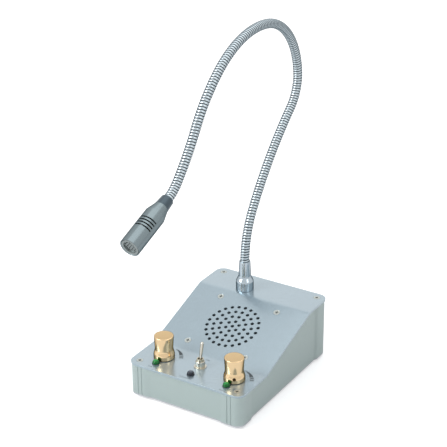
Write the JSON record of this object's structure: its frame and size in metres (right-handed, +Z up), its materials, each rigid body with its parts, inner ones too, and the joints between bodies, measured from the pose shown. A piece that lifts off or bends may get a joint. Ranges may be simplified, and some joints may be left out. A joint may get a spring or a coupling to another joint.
{
  "type": "teller window intercom",
  "caption": "Counter intercom for a teller window: sloped case with round speaker grille, gold volume knobs, toggle switch, lamps and a gooseneck microphone.",
  "frame": {"origin": "centre of the base plate's underside; the rubber feet reach 2.5 mm below it", "axes": "+X to the customer's right seen from the front, +Y to the rear, +Z up"},
  "size_m": [0.12, 0.2877, 0.3183],
  "materials": {
    "case_aluminium": "satin anodised extrusion",
    "plate_aluminium": "smooth, glossy, slightly bluish silver sheet",
    "zinc_steel": "zinc-plated sheet and turned steel",
    "foot_rubber": "matt black rubber",
    "screw_steel": "bright countersunk screws",
    "cloth": "fine black dust cloth",
    "cone_paper": "black coated paper",
    "magnet_iron": "dark ferrite ring and plated yoke",
    "red_wire": "PVC insulated wire",
    "circuit_board": "green solder mask",
    "chip_plastic": "black moulded chips",
    "capacitor_sleeve": "dark blue sleeves",
    "heat_sink_aluminium": "black anodised fins",
    "connector_plastic": "cream moulded header",
    "pot_metal": "stamped steel case",
    "nut_steel": "plated steel nuts and shafts",
    "knob_gold": "polished gold-coloured turned aluminium",
    "grub_steel": "blackened steel",
    "switch_plastic": "red moulded switch body under a plated bush",
    "switch_chrome": "bright plating",
    "green_lamp": "diffused green lamp",
    "dark_lamp": "unlit lamp",
    "clip_plastic": "black lamp clips",
    "socket_plastic": "black moulded socket with a plated pin",
    "socket_metal": "plated socket",
    "collar_chrome": "polished chrome",
    "neck_steel": "satin chrome on a flexible steel tube",
    "lead_rubber": "black sheathed microphone lead",
    "ferrule_grey": "dark satin grey",
    "mic_steel": "satin stainless steel",
    "mic_grille_steel": "dark slotted sheet",
    "foam": "black foam",
    "capsule_brass": "capsule in its holder"
  },
  "bodies": {
    "case": {"case_ring": "case_aluminium", "top_plate": "plate_aluminium", "base_plate": "zinc_steel", "rubber_feet": "foot_rubber", "top_screws": "screw_steel", "base_screws": "zinc_steel", "grille_cloth": "cloth", "speaker_frame": "zinc_steel", "speaker_cone": "cone_paper", "speaker_magnet": "magnet_iron", "speaker_screws": "screw_steel", "speaker_nuts": "zinc_steel", "speaker_wires": "red_wire", "main_board": "circuit_board", "board_posts": "zinc_steel", "board_screws": "zinc_steel", "amplifier_chips": "chip_plastic", "capacitors": "capacitor_sleeve", "heat_sink": "heat_sink_aluminium", "mic_header": "connector_plastic", "left_pot": "pot_metal", "right_pot": "pot_metal", "pot_nuts": "nut_steel", "switch_body": "switch_plastic", "switch_washer": "switch_chrome", "switch_nut": "switch_chrome", "left_lamp": "green_lamp", "right_lamp": "green_lamp", "power_lamp": "dark_lamp", "lamp_clips": "clip_plastic", "power_socket": "socket_plastic", "line_socket": "socket_metal", "socket_nuts": "nut_steel", "neck_collar": "collar_chrome", "neck_washer": "zinc_steel", "neck_nut": "zinc_steel", "base_lead": "lead_rubber", "neck_1": "neck_steel"},
    "left_volume_knob": {"left_knob": "knob_gold", "left_shaft": "nut_steel", "left_grub_screw": "grub_steel"},
    "right_volume_knob": {"right_knob": "knob_gold", "right_shaft": "nut_steel", "right_grub_screw": "grub_steel"},
    "toggle_lever": {"switch_lever": "switch_chrome"},
    "neck_stretch_2": {"neck_2": "neck_steel"},
    "neck_stretch_3": {"neck_3": "neck_steel"},
    "neck_stretch_4": {"neck_4": "neck_steel"},
    "neck_stretch_5": {"neck_5": "neck_steel"},
    "neck_stretch_6": {"neck_6": "neck_steel"},
    "neck_stretch_7": {"neck_7": "neck_steel"},
    "neck_stretch_8": {"neck_8": "neck_steel"},
    "neck_stretch_9": {"neck_9": "neck_steel", "mic_ferrule": "ferrule_grey", "mic_barrel": "mic_steel", "mic_capsule": "capsule_brass", "mic_foam": "foam", "mic_grille": "mic_grille_steel", "head_lead": "lead_rubber"}
  },
  "joints": [
    {"name": "left_volume_turn", "type": "hinge", "parent": "case", "child": "left_volume_knob", "pos_m": [-0.0357, -0.056, 0.0326], "axis": [0, 0, 1], "range_deg": [0, 300]},
    {"name": "right_volume_turn", "type": "hinge", "parent": "case", "child": "right_volume_knob", "pos_m": [0.0387, -0.056, 0.0326], "axis": [0, 0, 1], "range_deg": [0, 300]},
    {"name": "toggle_tilt", "type": "hinge", "parent": "case", "child": "toggle_lever", "pos_m": [0.0015, -0.0535, 0.0381], "axis": [1, 0, 0], "range_deg": [0, 24]},
    {"name": "neck_bend_1", "type": "hinge", "parent": "case", "child": "neck_stretch_2", "pos_m": [-0.016, 0.05651, 0.11317], "axis": [1, 0, 0], "range_deg": [-12, 6]},
    {"name": "neck_bend_2", "type": "hinge", "parent": "neck_stretch_2", "child": "neck_stretch_3", "pos_m": [-0.016, 0.0859, 0.16274], "axis": [0, 0.7861, -0.6181], "range_deg": [-14, 14]},
    {"name": "neck_bend_3", "type": "hinge", "parent": "neck_stretch_3", "child": "neck_stretch_4", "pos_m": [-0.016, 0.12532, 0.2052], "axis": [1, 0, 0], "range_deg": [-12, 6]},
    {"name": "neck_bend_4", "type": "hinge", "parent": "neck_stretch_4", "child": "neck_stretch_5", "pos_m": [-0.016, 0.14904, 0.25397], "axis": [1, 0, 0], "range_deg": [-12, 6]},
    {"name": "neck_bend_5", "type": "hinge", "parent": "neck_stretch_5", "child": "neck_stretch_6", "pos_m": [-0.016, 0.11709, 0.3004], "axis": [1, 0, 0], "range_deg": [-14, 6]},
    {"name": "neck_bend_6", "type": "hinge", "parent": "neck_stretch_6", "child": "neck_stretch_7", "pos_m": [-0.016, 0.06112, 0.31066], "axis": [0, -0.1195, 0.9928], "range_deg": [-14, 14]},
    {"name": "neck_bend_7", "type": "hinge", "parent": "neck_stretch_7", "child": "neck_stretch_8", "pos_m": [-0.016, 0.00805, 0.28902], "axis": [1, 0, 0], "range_deg": [-14, 6]},
    {"name": "neck_bend_8", "type": "hinge", "parent": "neck_stretch_8", "child": "neck_stretch_9", "pos_m": [-0.016, -0.03051, 0.24614], "axis": [1, 0, 0], "range_deg": [-14, 6]}
  ],
  "couplings": [
    {"joint": "neck_bend_3", "follows": "neck_bend_1", "ratio": 1},
    {"joint": "neck_bend_4", "follows": "neck_bend_1", "ratio": 1},
    {"joint": "neck_bend_6", "follows": "neck_bend_2", "ratio": 1},
    {"joint": "neck_bend_7", "follows": "neck_bend_5", "ratio": 1},
    {"joint": "neck_bend_8", "follows": "neck_bend_5", "ratio": 1}
  ]
}
